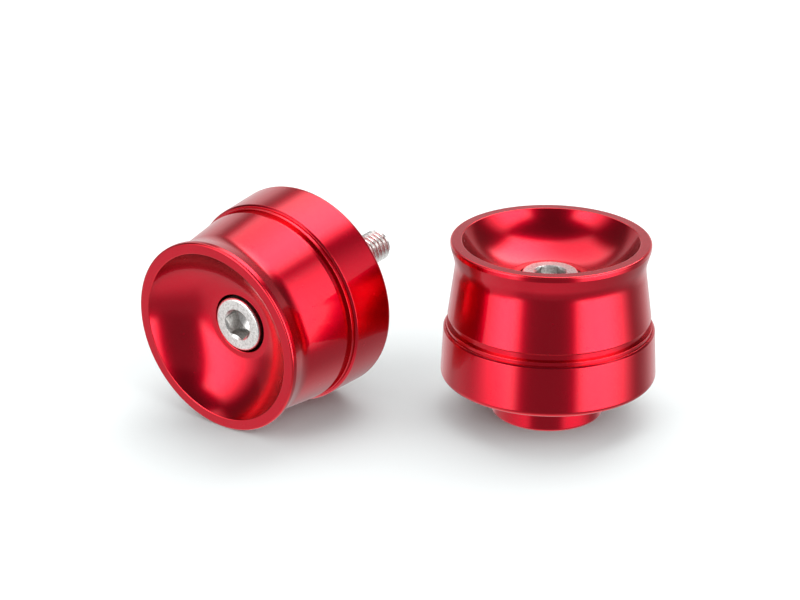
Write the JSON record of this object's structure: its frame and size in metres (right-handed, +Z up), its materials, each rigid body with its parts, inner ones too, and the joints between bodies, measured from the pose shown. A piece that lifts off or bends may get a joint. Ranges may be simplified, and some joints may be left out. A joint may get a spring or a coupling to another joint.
{
  "type": "bar end grips",
  "caption": "Pair of flared cylindrical bar end weights, each with a concave cup, a rear ring, a locating spigot and a socket head cap screw.",
  "frame": {"origin": "on the surface that the pair rests on, under the middle of its box", "axes": "+Z up, +X from the lying bar end to the standing one, +Y away from the front; the standing bar end's axis is along Z, the lying one's cup faces -X -Y"},
  "size_m": [0.092, 0.0492, 0.0385],
  "materials": {
    "red_weight": "satin red anodised, turned",
    "red_ring": "satin red anodised, turned",
    "red_bush": "satin red anodised, turned",
    "spring_steel": "ground spring steel",
    "stainless": "bright stainless"
  },
  "bodies": {
    "left_weight": {"left_weight_body": "red_weight", "left_rear_ring": "red_ring", "left_spigot_bush": "red_bush"},
    "left_washer": {"left_lock_washer": "spring_steel"},
    "left_screw": {"left_cap_screw": "stainless"},
    "right_weight": {"right_weight_body": "red_weight", "right_rear_ring": "red_ring", "right_spigot_bush": "red_bush"},
    "right_washer": {"right_lock_washer": "spring_steel"},
    "right_screw": {"right_cap_screw": "stainless"}
  },
  "joints": [
    {"name": "left_screw_withdraw", "type": "slide", "parent": "left_weight", "child": "left_washer", "axis": [-0.6004, -0.7968, -0.0679], "range_m": [0, 0.035]},
    {"name": "left_screw_turn", "type": "hinge", "parent": "left_washer", "child": "left_screw", "pos_m": [-0.02837, -0.00932, 0.01804], "axis": [-0.6004, -0.7968, -0.0679], "continuous": true},
    {"name": "right_screw_withdraw", "type": "slide", "parent": "right_weight", "child": "right_washer", "axis": [0, 0, 1], "range_m": [0, 0.02]},
    {"name": "right_screw_turn", "type": "hinge", "parent": "right_washer", "child": "right_screw", "pos_m": [0.02673, -0.0047, 0.0266], "axis": [0, 0, 1], "continuous": true},
    {"name": "pair_spread", "type": "slide", "parent": "left_weight", "child": "right_weight", "axis": [1, 0, 0], "range_m": [0, 0.04]}
  ]
}
